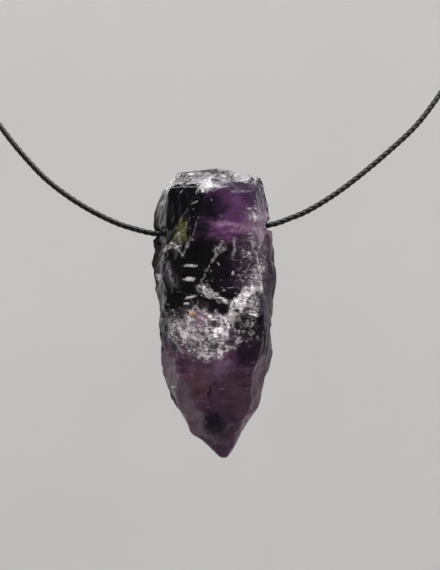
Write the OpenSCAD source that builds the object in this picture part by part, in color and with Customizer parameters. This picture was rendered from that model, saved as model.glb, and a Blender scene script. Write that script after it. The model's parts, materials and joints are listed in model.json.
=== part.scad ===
// Raw crystal point, drilled across near its broad end and threaded on a waxed cord neck loop.
// Origin at the nape, on the neck side of the closing knot.
// +Z is up, +X is to the viewer's right, and the wearer faces -Y.

/* [Crystal] */
// Height of the crystal from its broken top to its point
crystal_h = 47.6; // [38:0.1:60]
// Widest side-to-side size of the crystal
crystal_w = 20.6; // [17:0.1:28]
// Front-to-back size of the crystal
crystal_d = 15.6; // [13:0.1:22]
// How far the crystal's top stands above the cord hole
top_above_hole = 9.9; // [8:0.1:14]
// How far the crystal's middle plane lies in front of the hole, so that it hangs upright
front_of_hole = 0.15; // [-1:0.05:1]
// Height of the small chips and steps all over the rough surface
chip_h = 0.16; // [0:0.01:0.3]
// How far the long edges wander from straight lines
edge_wander = 0.5; // [0:0.05:0.8]

/* [Cord hole] */
// Free space all round the cord inside the hole
hole_slack = 0.3; // [0.2:0.05:0.6]
// Tilt of the hole, rising towards the right
hole_tilt = 4.4; // [0:0.1:6]
// Diameter of the worn mouth at each end of the hole
mouth_d = 3.0; // [2.6:0.1:4]
// Depth over which each mouth narrows to the hole
mouth_depth = 2.4; // [1.5:0.1:4]

/* [Cord] */
// Diameter of the waxed cord
cord_d = 1.0; // [0.8:0.05:1.2]
// Diameter of the closing knot at the nape
knot_d = 3.8; // [3:0.1:6]
// Length of the closing knot along the cord
knot_l = 8; // [6:0.5:12]

/* [Hidden] */

// Where the middle of the cord hole hangs, from the nape
HOLE = [0, -115, -100];
hole_d = cord_d + 2 * hole_slack;

// Sections of the crystal, top to point. Column names:
// down: how far below the top, as a share of the height
// left, right: side edges from the hole's middle, shares of the width
// ridge: the front ridge between the two main front faces, share of the width
// front, rear: depth of the ridge and of the back corners, shares of the depth
DOWN = 0;
LEFT = 1;
RIGHT = 2;
RIDGE = 3;
FRONT = 4;
REAR = 5;
SECTIONS = [
    [0.000, -0.285, 0.385, -0.020, 0.06, 0.30],
    [0.030, -0.350, 0.405, -0.080, 0.24, 0.38],
    [0.070, -0.412, 0.416, -0.110, 0.41, 0.43],
    [0.130, -0.464, 0.443, -0.125, 0.46, 0.46],
    [0.190, -0.482, 0.467, -0.140, 0.48, 0.48],
    [0.222, -0.474, 0.470, -0.165, 0.49, 0.48],
    [0.280, -0.498, 0.481, -0.200, 0.49, 0.49],
    [0.322, -0.506, 0.490, -0.240, 0.48, 0.50],
    [0.384, -0.481, 0.498, -0.230, 0.46, 0.50],
    [0.454, -0.456, 0.476, -0.190, 0.45, 0.50],
    [0.560, -0.449, 0.487, -0.120, 0.50, 0.49],
    [0.630, -0.417, 0.490, -0.060, 0.50, 0.47],
    [0.664, -0.413, 0.473, -0.030, 0.48, 0.46],
    [0.714, -0.408, 0.427, 0.000, 0.44, 0.43],
    [0.788, -0.352, 0.383, 0.030, 0.37, 0.37],
    [0.840, -0.294, 0.345, 0.050, 0.30, 0.30],
    [0.875, -0.255, 0.270, 0.060, 0.25, 0.24],
    [0.910, -0.214, 0.228, 0.070, 0.19, 0.18],
    [0.945, -0.090, 0.189, 0.080, 0.12, 0.11],
    [0.975, -0.020, 0.155, 0.080, 0.07, 0.06],
    [1.000, 0.050, 0.105, 0.080, 0.02, 0.02]
];
// Rings of points down the crystal, and points along each of a section's seven sides
RINGS = 46;
SIDE_POINTS = 6;
// Shares of the side bevels' width, and of the depth at which they meet the faces
LEFT_BEVEL = 0.10;
RIGHT_BEVEL = 0.12;
LEFT_BEVEL_FRONT = 0.58;
RIGHT_BEVEL_FRONT = 0.66;
// How fast each of the seven edges wanders, in degrees over the crystal's height
WANDER_TURNS = [900, 760, 520, 840, 980, 700, 620];
// The broken top falls away from its middle to the left and to the right, by these slopes
TOP_FALL = [0.107, 0.148];
// Inner rings of the top, as shares of its outline, with their rise as shares of the chip height
TOP_RINGS = [[0.38, 1.6], [0.72, 0.5]];

// Hollows broken out of the surface. Column names:
// side, depth, down: the middle, shares of the width, of the depth (front negative) and of the height
// wide, tall: half sizes, shares of the width and of the height
// sunk: how deep the middle lies, share of the depth
SIDE = 0;
DEPTH = 1;
LOW = 2;
WIDE = 3;
TALL = 4;
SUNK = 5;
HOLLOWS = [
    [0.10, -0.46, 0.345, 0.26, 0.095, 0.075],
    [-0.22, -0.47, 0.345, 0.13, 0.090, 0.045],
    [-0.46, -0.10, 0.290, 0.17, 0.055, 0.050],
    [0.42, -0.22, 0.355, 0.15, 0.110, 0.045],
    [-0.34, -0.30, 0.585, 0.17, 0.110, 0.055],
    [0.05, -0.40, 0.760, 0.26, 0.080, 0.035],
    [-0.30, -0.10, 0.880, 0.16, 0.060, 0.050],
    [0.20, 0.50, 0.260, 0.30, 0.130, 0.060],
    [-0.22, 0.46, 0.520, 0.24, 0.120, 0.065],
    [0.26, 0.40, 0.700, 0.22, 0.100, 0.060],
    [0.47, 0.10, 0.560, 0.16, 0.090, 0.045],
    [-0.47, 0.20, 0.480, 0.15, 0.100, 0.050],
    [0.40, 0.36, 0.420, 0.14, 0.070, 0.050],
    [-0.36, 0.38, 0.230, 0.16, 0.090, 0.055],
    [0.02, 0.44, 0.820, 0.18, 0.060, 0.045],
    [-0.05, 0.12, 0.010, 0.20, 0.035, 0.060],
    [0.30, -0.10, 0.035, 0.16, 0.030, 0.040]
];

// Points that the cord runs through, from the knot round the left of the neck to the front, through the
// hole, and back round the right: chosen by hand along the hanging cord and then round a neck
CORD_ROUTE = [
    [-knot_l / 2, knot_d / 2, 0], [-13, 0, -0.3], [-25, -4.5, -2], [-37, -13, -5.5], [-47, -25, -11],
    [-54, -39, -18], [-57.5, -54, -26.5], [-57.5, -69, -36.5], [-54.5, -83, -49], [-49.5, -94, -61.5],
    [-43, -102, -73], [-36.2, -107.7, -82.5], [-32.5, -109.6, -87], [-28, -111.4, -91.6],
    [-22, -113.3, -95.9], [-16, -114.5, -98.95], [-12.5, -114.8, -100.05], [-10.8, -114.9, -100.48],
    [-9.8, -115, -100.64], [-9, -115, -100.67], [-8.2, -115, -100.63], [8.2, -115, -99.37],
    [9, -115, -99.28], [9.8, -114.9, -99.12], [10.8, -114.8, -98.85], [12.5, -114.5, -98.2],
    [15.5, -114, -96.95], [20.5, -112.5, -93.9], [25.5, -110.8, -90.1], [30, -109.2, -86.3],
    [34.5, -107.5, -82.1], [38.5, -105.3, -77.1], [44.5, -100.5, -68], [50.5, -93, -57], [55, -83, -46],
    [57.5, -69, -35.5], [57.5, -54, -26], [54, -39, -18], [47, -25, -11], [37, -13, -5.5],
    [25, -4.5, -2], [13, 0, -0.3], [knot_l / 2, knot_d / 2, 0]
];
CORD_SIDES = 8;
// Longest step between two rings of the cord
CORD_STEP = 8;

// Value of a table's column at a place between its rows
function at(column, place) =
    lookup(place, [for (row = SECTIONS) [row[DOWN], row[column]]]);

// A fixed pseudo-random share from -1 to 1 for each pair of indices
function scatter(i, j) =
    let (wave = sin(i * 127.1 + j * 311.7) * 43758.5)
    2 * (wave - floor(wave)) - 1;

// The seven corners of a section, from the right edge round the front, the left and the back
function corners(down) =
    let (
        left = crystal_w * at(LEFT, down),
        right = crystal_w * at(RIGHT, down),
        span = right - left,
        front = crystal_d * at(FRONT, down),
        rear = crystal_d * at(REAR, down),
        wander = edge_wander * min(1, 2 * (front + rear) / crystal_d),
        smooth = [
            [right, 0.10 * rear],
            [right - RIGHT_BEVEL * span, -RIGHT_BEVEL_FRONT * front],
            [crystal_w * at(RIDGE, down), -front],
            [left + LEFT_BEVEL * span, -LEFT_BEVEL_FRONT * front],
            [left, 0.14 * rear],
            [left + 0.26 * span, 0.90 * rear],
            [right - 0.30 * span, rear]
        ]
    )
    [
        for (k = [0:len(smooth) - 1])
            smooth[k] + wander * [
                k % 4 == 0 ? 0 : sin(WANDER_TURNS[k] * down + 90 * k),
                0.6 * sin(WANDER_TURNS[k] * 1.3 * down + 50 * k)
            ]
    ];

// How far the hollows push a point inwards
function sink(p) = crystal_d * max([
    for (h = HOLLOWS)
        let (
            dx = (p.x / crystal_w - h[SIDE]) / h[WIDE],
            dy = (p.y / crystal_d - h[DEPTH]) / (h[WIDE] * crystal_w / crystal_d),
            dz = ((top_above_hole - p.z) / crystal_h - h[LOW]) / h[TALL]
        )
        h[SUNK] * max(0, 1 - dx * dx - dy * dy - dz * dz)
]);

// A surface point with its hollows and chips, from its smooth place
function chipped(p, middle, i, j) =
    let (
        out = [p.x - middle.x, p.y - middle.y, 0],
        size = max(norm(out), 0.01),
        move = min(0.7 * size, sink(p) + chip_h * scatter(i, j))
    )
    [p.x, p.y, p.z + 0.5 * chip_h * scatter(j + 7, i)] - out / size * move;

// One ring of surface points: size is its share of the section's outline
function ring(down, size, rise, j) =
    let (
        c = corners(down),
        count = len(c),
        middle = [for (axis = [0, 1]) [for (p = c) p[axis]] * [for (p = c) 1] / count],
        level = top_above_hole - crystal_h * down + rise,
        fade = max(0, 1 - down / 0.1)
    )
    [
        for (side = [0:count - 1], step = [0:SIDE_POINTS - 1])
            let (
                a = c[side],
                b = c[(side + 1) % count],
                edge = a + (b - a) * step / SIDE_POINTS,
                flat = middle + (edge - middle) * size,
                fall = fade * (flat.x < 0 ? -flat.x * TOP_FALL[0] : flat.x * TOP_FALL[1])
            )
            chipped([flat.x, flat.y, level - fall], middle, side * SIDE_POINTS + step, j)
    ];

// Faces between rings of equal count, closed at both ends round the first and the last point of the list
function skin_faces(rings, count) =
    let (last = 1 + rings * count)
    concat(
        [for (i = [0:count - 1]) [0, 1 + i, 1 + (i + 1) % count]],
        [
            for (j = [0:rings - 2], i = [0:count - 1], half = [0, 1])
                let (
                    a = 1 + j * count + i,
                    b = 1 + j * count + (i + 1) % count,
                    c = b + count,
                    d = a + count
                )
                half == 0 ? [a, d, c] : [a, c, b]
        ],
        [for (i = [0:count - 1]) [last, last - count + (i + 1) % count, last - count + i]]
    );

// The mean of a list of points
function mean(points) = [for (axis = [0:2]) [for (p = points) p[axis]] * [for (p = points) 1] / len(points)];

// A closed skin through rings of points, from the first ring down to the last
module skin(rings, start, end) {
    count = len(rings[0]);
    polyhedron(
        points = concat([start], [for (r = rings) each r], [end]),
        faces = skin_faces(len(rings), count),
        convexity = 6
    );
}

// The crystal's rough body with no hole, round the middle of the cord hole
module crystal_body() {
    top = [for (k = [0:len(TOP_RINGS) - 1]) ring(0, TOP_RINGS[k][0], TOP_RINGS[k][1] * chip_h, 90 + k)];
    sides = [for (j = [0:RINGS]) ring(j / RINGS, 1, 0, j)];
    skin(
        concat(top, sides),
        mean(top[0]) + [0, 0, chip_h],
        mean(sides[RINGS]) - [0, 0, chip_h]
    );
}

// The drilled hole with a worn, widened mouth at each end
module cord_hole() {
    reach = crystal_w;
    rotate([0, 90 - hole_tilt, 0])
        cylinder(d = hole_d, h = 2 * reach, center = true, $fn = 32);
    for (side = [LEFT, RIGHT]) {
        way = side == LEFT ? -1 : 1;
        face = abs(crystal_w * at(side, top_above_hole / crystal_h));
        // The cone goes on as far again beyond the face
        rotate([0, way * 90 - hole_tilt, 0])
            translate([0, 0, face - mouth_depth])
                cylinder(d1 = hole_d, d2 = 2 * mouth_d - hole_d, h = 2 * mouth_depth, $fn = 32);
    }
}

// Cord route as a smooth curve: each span of four points gives evenly spaced places along its middle
function spline(a, b, c, d, s) =
    let (
        ta = sqrt(norm(b - a)),
        tb = sqrt(norm(c - b)),
        tc = sqrt(norm(d - c)),
        into = (b - a) / ta - (c - a) / (ta + tb) + (c - b) / tb,
        away = (c - b) / tb - (d - b) / (tb + tc) + (d - c) / tc
    )
    b + s * tb * into
        + s * s * (3 * (c - b) - tb * (2 * into + away))
        + s * s * s * (2 * (b - c) + tb * (into + away));

function route_places() =
    let (last = len(CORD_ROUTE) - 1)
    [
        for (k = [0:last - 1])
            let (
                b = CORD_ROUTE[k],
                c = CORD_ROUTE[k + 1],
                a = k > 0 ? CORD_ROUTE[k - 1] : 2 * b - c,
                d = k < last - 1 ? CORD_ROUTE[k + 2] : 2 * c - b,
                steps = ceil(norm(c - b) / CORD_STEP)
            )
            for (n = [0:steps - 1]) spline(a, b, c, d, n / steps),
        CORD_ROUTE[last]
    ];

// A ring of points square across the way the cord runs
function cord_ring(place, way) =
    let (
        ahead = way / norm(way),
        side = cross(ahead, [0, 0, 1]),
        across = side / norm(side),
        up = cross(across, ahead)
    )
    [
        for (k = [0:CORD_SIDES - 1])
            let (turn = -360 * k / CORD_SIDES)
            place + cord_d / 2 * (cos(turn) * across + sin(turn) * up)
    ];

module crystal_point() {
    color("#3a2440")
        translate(HOLE)
            difference() {
                translate([0, -front_of_hole, 0])
                    crystal_body();
                cord_hole();
            }
}

module neck_cord() {
    places = route_places();
    last = len(places) - 1;
    // The cord leaves the knot and comes back to it square to the knot's ends, running to the left both times
    ways = [for (k = [0:last]) k == 0 || k == last ? [-1, 0, 0] : places[k + 1] - places[k - 1]];
    color("#1b1a1b")
        skin([for (k = [0:last]) cord_ring(places[k], ways[k])], places[0], places[last]);
}

module nape_knot() {
    half = knot_l / 2;
    knot_r = knot_d / 2;
    color("#1b1a1b")
        translate([0, knot_r, 0])
            rotate([0, 90, 0])
                rotate_extrude($fn = 48)
                    polygon([
                        [0, -half], [0.62 * knot_r, -half], [0.92 * knot_r, -0.78 * half],
                        [knot_r, -0.45 * half], [knot_r, 0.45 * half], [0.92 * knot_r, 0.78 * half],
                        [0.62 * knot_r, half], [0, half]
                    ]);
}

crystal_point();
neck_cord();
nape_knot();
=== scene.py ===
"""Raw crystal point on a waxed cord: broken stone, laid cord, wrapped closing knot and a plain studio."""

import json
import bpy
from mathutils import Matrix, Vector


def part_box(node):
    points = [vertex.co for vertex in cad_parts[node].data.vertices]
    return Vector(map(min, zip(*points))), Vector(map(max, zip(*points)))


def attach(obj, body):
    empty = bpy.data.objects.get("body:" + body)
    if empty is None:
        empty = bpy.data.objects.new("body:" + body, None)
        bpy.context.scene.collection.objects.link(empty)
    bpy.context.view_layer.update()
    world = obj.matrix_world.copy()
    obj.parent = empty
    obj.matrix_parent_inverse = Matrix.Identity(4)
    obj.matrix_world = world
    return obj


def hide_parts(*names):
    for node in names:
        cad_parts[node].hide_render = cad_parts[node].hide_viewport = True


bl_info = {
    "name": "Raw Crystal Point Pendant",
    "version": (1, 0, 0),
    "blender": (4, 5, 0),
    "location": "3D View > Sidebar > Pendant",
    "description": "Dresses the crystal point pendant: stone, cord, knot and studio",
    "category": "Object",
}

from collections import namedtuple
from math import cos, pi, radians, sin

import bmesh
import bpy
import numpy as np
from bpy.props import FloatProperty, FloatVectorProperty, IntProperty, PointerProperty
from mathutils import Vector, noise

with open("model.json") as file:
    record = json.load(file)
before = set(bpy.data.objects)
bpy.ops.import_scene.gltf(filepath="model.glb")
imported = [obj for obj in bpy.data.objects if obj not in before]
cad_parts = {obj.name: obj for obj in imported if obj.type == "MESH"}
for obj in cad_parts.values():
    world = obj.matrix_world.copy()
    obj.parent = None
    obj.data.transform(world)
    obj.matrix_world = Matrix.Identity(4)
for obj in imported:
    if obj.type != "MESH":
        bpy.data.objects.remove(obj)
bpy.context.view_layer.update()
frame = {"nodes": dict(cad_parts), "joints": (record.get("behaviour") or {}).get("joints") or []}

MM = 0.001
# The middle of the drilled hole, where the crystal turns on the cord, in metres and in millimetres
HOLE = Vector(frame["joints"][0]["pos_m"])
HOLE_MM = [round(value / MM, 3) for value in frame["joints"][0]["pos_m"]]

# The way the hole runs through the stone, and how the dressed stone closes in round the cord at the hole's
# mouths: distances from the middle of the hole in the plain crystal and in the dressed stone, in millimetres
HOLE_WAY = np.array(frame["joints"][0]["axis"])
PLAIN_MOUTH = (0.8, 1.5, 2.4)
CLOSE_MOUTH = (0.8, 0.95, 2.4)

# Points of a mesh that lie nearer than this, in metres, are one
MERGE = 1e-6

# The photograph: its size, the hole's place in it, its scale where the hole hangs, and the lens and sensor
# in millimetres that give its view
PHOTO_WIDE = 440
PHOTO_TALL = 570
HOLE_PIXEL = (213.5, 229.7)
PIXELS_PER_METRE = 6000
LENS = 100
SENSOR = 36

# The cord's middle in millimetres, from the knot round the left of the neck, through the crystal and back
CORD_ROUTE = [
    (-4, 1.9, 0), (-13, 0, -0.3), (-25, -4.5, -2), (-37, -13, -5.5), (-47, -25, -11), (-54, -39, -18),
    (-57.5, -54, -26.5), (-57.5, -69, -36.5), (-54.5, -83, -49), (-49.5, -94, -61.5), (-43, -102, -73),
    (-36.2, -107.7, -82.5), (-32.5, -109.6, -87), (-28, -111.4, -91.6), (-22, -113.3, -95.9),
    (-16, -114.5, -98.95), (-12.5, -114.8, -100.05), (-10.8, -114.9, -100.48), (-9.8, -115, -100.64),
    (-9, -115, -100.67), (-8.2, -115, -100.63), (8.2, -115, -99.37), (9, -115, -99.28),
    (9.8, -114.9, -99.12), (10.8, -114.8, -98.85), (12.5, -114.5, -98.2), (15.5, -114, -96.95),
    (20.5, -112.5, -93.9), (25.5, -110.8, -90.1), (30, -109.2, -86.3), (34.5, -107.5, -82.1),
    (38.5, -105.3, -77.1), (44.5, -100.5, -68), (50.5, -93, -57), (55, -83, -46), (57.5, -69, -35.5),
    (57.5, -54, -26), (54, -39, -18), (47, -25, -11), (37, -13, -5.5), (25, -4.5, -2), (13, 0, -0.3),
    (4, 1.9, 0),
]
# The closing knot: steps to a turn, and its cut ends: where they start, as shares of the knot's half length
# and radius, the way they point and their steps
TURN_STEPS = 40
TAIL_ROOT = (0.8, 0.4)
TAIL_WAY = (0.55, 0.75, -0.35)
TAIL_STEPS = 12

# Zones of the stone in millimetres from the hole, as seen from the front. Later rows lie over earlier ones.
# side: front, back or all round; right, up, wide, tall: middle and half sizes; lean: top turned to the right
# square: 2 is an ellipse and more is boxier; soft: width of the edge as a share of the size
# tint: colour, in some rows below painted with highlights, sheen, glow and shade; gloss: roughness;
# clear: light let through; veils, frost, ribs (growth lines, painted as streaks of sheen) and flakes: how
# much the material has of each, frost and flakes also painting sparkle and each facet's light and shade;
# ledges: steps in the surface; breaks, flakes, frost: where scars are struck
FIELDS = ["gloss", "clear", "veils", "frost", "ledges", "ribs", "breaks", "flakes"]
Zone = namedtuple("Zone", "side right up wide tall lean square soft tint".split() + FIELDS)
ZONES = [Zone(*row) for row in [
    ("all", 0, -12, 40, 60, 0, 2, 0.2, "#0e090f", 0.08, 0, 0.1, 0, 0, 0, 1, 0.6),
    # Lower body and point: milky mottled purple
    ("all", 0, -30, 14, 10.5, 0, 4, 0.06, "#4d2c46", 0.24, 0.10, 0.30, 0, 0, 0, 0.35, 0.15),
    ("front", 1.2, -34.6, 4, 3, 0, 3, 0.4, "#554052", 0.28, 0.10, 0.2, 0, 0, 0, 0.3, 0.2),
    ("front", -1.6, -32.7, 0.9, 2.5, -43, 2, 0.7, "#6a5867", 0.28, 0.10, 0.2, 0, 0, 0, 0.3, 0.1),
    ("front", -2.6, -25.5, 2.4, 2.8, 20, 2, 0.7, "#5c3b47", 0.28, 0.10, 0.1, 0, 0, 0, 0.3, 0.1),
    ("front", 1.4, -23, 2.4, 1.6, -20, 2, 0.7, "#644765", 0.28, 0.10, 0.3, 0, 0, 0, 0.3, 0.1),
    ("front", 4.8, -26.8, 2.6, 2.8, 10, 2, 0.7, "#452c37", 0.28, 0.10, 0.1, 0, 0, 0, 0.3, 0.1),
    ("front", 1.4, -30.6, 2.6, 3, 0, 2, 0.9, "#35212f", 0.28, 0, 0.1, 0, 0, 0, 0.3, 0.1),
    ("front", 0.2, -31.9, 2.1, 1.6, 42, 2, 0.5, "#12051d", 0.30, 0, 0, 0, 0, 0, 0, 0),
    ("all", -5.3, -27.5, 1.6, 6.4, -27, 3, 0.4, "#67565f", 0.30, 0.10, 0.2, 0, 0, 0, 0.6, 0.25),
    # Upper right face: dark clear purple with dark edges, then the bright band under it, the pale corner
    # painted with the glow of light through its thin edge, and painted glints beside it
    ("front", 3.4, 3.6, 6.2, 4.9, 0, 5, 0.08, "#523056", 0.09, 0.05, 0.06, 0, 0, 0, 0, 0),
    ("front", 6.6, 5.2, 1.7, 2.6, 0, 2, 0.6, "#33213a", 0.12, 0, 0.1, 0, 0, 0, 0, 0.1),
    ("front", -1, 2.6, 2.3, 4.2, 22, 2, 0.7, "#0e0614", 0.08, 0, 0, 0, 0, 0, 0, 0),
    ("front", 4.4, -0.1, 6.6, 1.6, -4, 3, 0.7, "#623563", 0.14, 0.05, 0.9, 0, 0, 0, 0, 0),
    ("front", -2.3, -0.7, 2, 2.4, 22, 2, 0.6, "#12071a", 0.09, 0, 0.1, 0, 0, 0, 0, 0),
    ("front", 8.2, -1, 2.4, 3.6, 0, 2, 0.8, "#98808f", 0.20, 0.10, 0.7, 0.1, 0, 0, 0, 0.15),
    ("front", 6.4, 2.4, 0.9, 1.2, -20, 2, 0.7, "#7a6679", 0.12, 0, 0.2, 0.5, 0, 0, 0.2, 0.4),
    ("front", 5.4, 7, 3, 1, 0, 3, 0.4, "#2c1732", 0.9, 0, 0, 0, 0, 0, 0, 0),
    # Left front face: black, with faint growth lines from top to bottom painted as light streaks of sheen
    ("front", -5.2, 2.6, 3, 5.6, 15, 5, 0.06, "#040307", 0.09, 0, 0, 0, 0, 1, 0, 0),
    # Left bevel beside it, flat and grey, black at its foot
    ("all", -9.9, 4, 2, 5.2, 19, 5, 0.06, "#201f23", 0.20, 0.10, 0, 0, 0, 0, 0, 0),
    ("all", -9.6, -0.6, 1.3, 3.2, 12, 4, 0.15, "#050506", 0.55, 0, 0, 0, 0, 0.3, 0, 0),
    ("front", -7.7, -0.3, 1.5, 3.9, 20, 4, 0.10, "#050506", 0.09, 0, 0, 0, 0, 0.6, 0, 0),
    # Olive inclusion beside it, and the chips at the foot of the face painted light grey with glints
    ("front", -5, -1.4, 0.95, 2.3, -8, 3, 0.4, "#4a4826", 0.20, 0, 0, 0.2, 0, 0, 0.3, 0.4),
    ("front", -7.2, -3.1, 1.3, 0.45, -20, 2, 0.5, "#807e7b", 0.14, 0, 0, 0.8, 0.3, 0, 0.3, 0.8),
    ("front", -5.5, -3.8, 1.5, 0.9, -35, 2, 0.5, "#85837a", 0.14, 0, 0, 0.8, 0.3, 0, 0.3, 0.6),
    # Black middle with ledges, and the black left flank; grey patches painted as the sheen of glassy facets,
    # and a light cluster painted with glints
    ("front", 0, -7.2, 6.8, 4.9, 0, 4, 0.12, "#060407", 0.06, 0, 0, 0, 0.6, 0, 0.9, 0.4),
    ("front", 3, -7.4, 2.2, 3, 15, 2, 0.6, "#150b1a", 0.07, 0, 0, 0.12, 0.3, 0, 0.9, 0.4),
    ("all", -10.8, -10, 2.4, 9.5, 0, 3, 0.15, "#0b090c", 0.85, 0, 0, 0, 0, 0, 0.8, 0.5),
    ("front", -7.4, -10.2, 2.2, 7, 6, 3, 0.15, "#0c0a0d", 0.09, 0, 0, 0.12, 0.2, 0, 1, 0.5),
    ("front", -7.4, -16.6, 1.9, 3, 10, 3, 0.4, "#37333a", 0.14, 0, 0, 0.22, 0, 0, 0.8, 0.9),
    ("front", -7.3, -7.2, 0.9, 2.8, -28, 3, 0.4, "#29272b", 0.20, 0, 0, 0, 0, 0.4, 0.3, 0),
    ("front", 1.1, -3.4, 0.9, 1.5, 25, 2, 0.4, "#6d666b", 0.14, 0, 0, 0.75, 0.5, 0, 0.5, 0.8),
    # Right flank: greyish purple with painted glints, smooth dark outer bevel
    ("front", 6.5, -5.4, 2.6, 5, -4, 2, 0.7, "#4e394d", 0.12, 0, 0.3, 0.34, 0.3, 0, 0.6, 0.9),
    ("front", 7.9, -7, 1.2, 3, 14, 2, 0.7, "#7f6f7b", 0.12, 0, 0, 0.52, 0.3, 0, 0.6, 0.9),
    ("all", 9.8, -15.5, 1.9, 8.2, -2, 4, 0.10, "#25132a", 0.46, 0, 0, 0, 0, 0, 0.1, 0),
    ("front", 7.1, -15, 0.8, 4.8, -3, 3, 0.3, "#150b1b", 0.10, 0, 0, 0.1, 0, 0, 0.4, 0.2),
    # Dark purple beside the frost
    ("front", 5.6, -19.6, 2.4, 2.6, 0, 2, 0.6, "#1f0f24", 0.16, 0, 0, 0, 0, 0, 0.5, 0.3),
    # Frosted, sparkling patch across the middle: its whitish ground with painted sparkle, then its rims
    # painted with highlights and its sunken parts painted with shade
    ("front", -1.5, -17, 4.7, 4, 12, 2, 0.25, "#8c7984", 0.16, 0, 0, 0.60, 0.1, 0, 0.6, 0.8),
    ("front", -2.2, -18.3, 3.9, 1.9, 28, 2, 0.4, "#cabfc5", 0.14, 0, 0, 1, 0.1, 0, 0.6, 1),
    ("front", 3.2, -18.8, 2, 0.9, -15, 2, 0.5, "#786570", 0.16, 0, 0, 0.55, 0.1, 0, 0.6, 0.9),
    ("front", -4.9, -16.2, 1, 1.8, -20, 2, 0.4, "#b4a8ae", 0.14, 0, 0, 1, 0.1, 0, 0.6, 1),
    ("front", 0.6, -17.2, 1.4, 1.4, 0, 2, 0.5, "#cabfc5", 0.14, 0, 0, 1, 0.1, 0, 0.6, 1),
    ("front", 3, -17.7, 1.3, 1.8, -20, 2, 0.5, "#4d3a47", 0.18, 0, 0, 0.20, 0, 0, 0.6, 0.6),
    ("front", 6.4, -17, 1.1, 2.2, 0, 2, 0.5, "#33222f", 0.14, 0, 0, 0.30, 0, 0, 0.6, 0.9),
    ("front", -2.2, -14.7, 1.3, 1.6, 20, 2, 0.5, "#7a606e", 0.22, 0, 0.1, 0.18, 0, 0, 0.6, 0.5),
    ("front", -0.2, -10.9, 2.4, 0.65, 33, 2, 0.5, "#a8a2a2", 0.12, 0, 0, 0.95, 0.3, 0, 0.7, 0.9),
    ("front", 6.5, -13, 1.2, 1.4, 0, 2, 0.6, "#6d6367", 0.12, 0, 0, 0.42, 0.2, 0, 0.7, 0.9),
    ("front", 4.5, -12.5, 4, 1.3, -47, 2, 0.4, "#b4abae", 0.12, 0, 0, 1, 0.2, 0, 0.7, 0.9),
    ("front", 0.7, -13.1, 1.8, 1, 10, 2, 0.3, "#0e080f", 0.12, 0, 0, 0, 0, 0, 0.6, 0.5),
    ("front", 5.5, -16, 1.8, 1.7, 20, 2, 0.5, "#170d16", 0.12, 0, 0, 0.28, 0, 0, 0.6, 0.6),
    ("front", -3.5, -13.9, 0.45, 0.5, 0, 2, 0.4, "#e0b391", 0.30, 0, 0, 0, 0, 0, 0.3, 0),
    # Broken top end: chips painted silver and dark with their reflections of the light above, and the upper
    # end of the black left face
    ("all", 0.6, 9.2, 8.8, 1.9, -5, 5, 0.10, "#747074", 0.12, 0, 0, 0.15, 0, 0, 0.6, 1),
    ("front", -0.9, 7.4, 2.5, 1.1, -14, 2, 0.4, "#aea9ac", 0.14, 0, 0, 0.4, 0, 0, 0.5, 1),
    ("front", 1.4, 8.7, 1.2, 0.5, -10, 2, 0.5, "#5a575b", 0.16, 0, 0, 0.1, 0, 0, 0.5, 0.8),
    ("front", 5, 8.7, 2.4, 0.8, 8, 2, 0.4, "#a6a1a5", 0.13, 0, 0, 0.4, 0, 0, 0.5, 1),
    ("front", -5.6, 8.6, 2, 0.9, -6, 3, 0.3, "#29272a", 0.12, 0, 0, 0.45, 0, 0, 0.4, 1),
    ("front", -4.9, 5.8, 2.6, 1.2, -4, 4, 0.12, "#040307", 0.09, 0, 0, 0, 0, 1, 0, 0),
    ("front", 7.4, 7.9, 1.2, 0.8, 10, 3, 0.3, "#413e44", 0.12, 0, 0, 0.45, 0, 0, 0.4, 1),
    # The back, which the picture does not show: the same kinds of broken face, with the same painted sparkle
    # and highlights on its frost
    ("back", 2.2, 1.8, 6.4, 5.4, 12, 3, 0.3, "#3c2242", 0.10, 0.05, 0.5, 0, 0, 0, 0.7, 0.3),
    ("back", 1, -4, 7.6, 1.7, 8, 3, 0.6, "#664066", 0.15, 0.05, 0.8, 0, 0, 0, 0.4, 0.1),
    ("back", -4.8, 1.6, 2.8, 5.2, -10, 4, 0.12, "#0b080c", 0.09, 0, 0, 0, 0, 1, 0.1, 0),
    ("back", 0, -20.4, 9.5, 2.4, -6, 3, 0.8, "#4a2f4a", 0.20, 0.05, 0.4, 0.1, 0, 0, 0.8, 0.4),
    ("back", -2.6, -13.2, 5.2, 3.6, -14, 3, 0.3, "#150e18", 0.09, 0, 0.1, 0.1, 0.6, 0, 1, 0.5),
    ("back", 3.4, -10.6, 4, 2.4, -22, 2, 0.4, "#8c7984", 0.16, 0, 0, 0.65, 0.1, 0, 0.6, 0.8),
    ("back", 1.6, -8.8, 3.6, 0.9, -12, 2, 0.5, "#a89ca2", 0.14, 0, 0, 0.95, 0.2, 0, 0.6, 1),
    ("back", 5.2, -14.6, 1.7, 2.4, 10, 2, 0.5, "#5a4459", 0.14, 0, 0.2, 0.4, 0.2, 0, 0.6, 0.8),
]]
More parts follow.
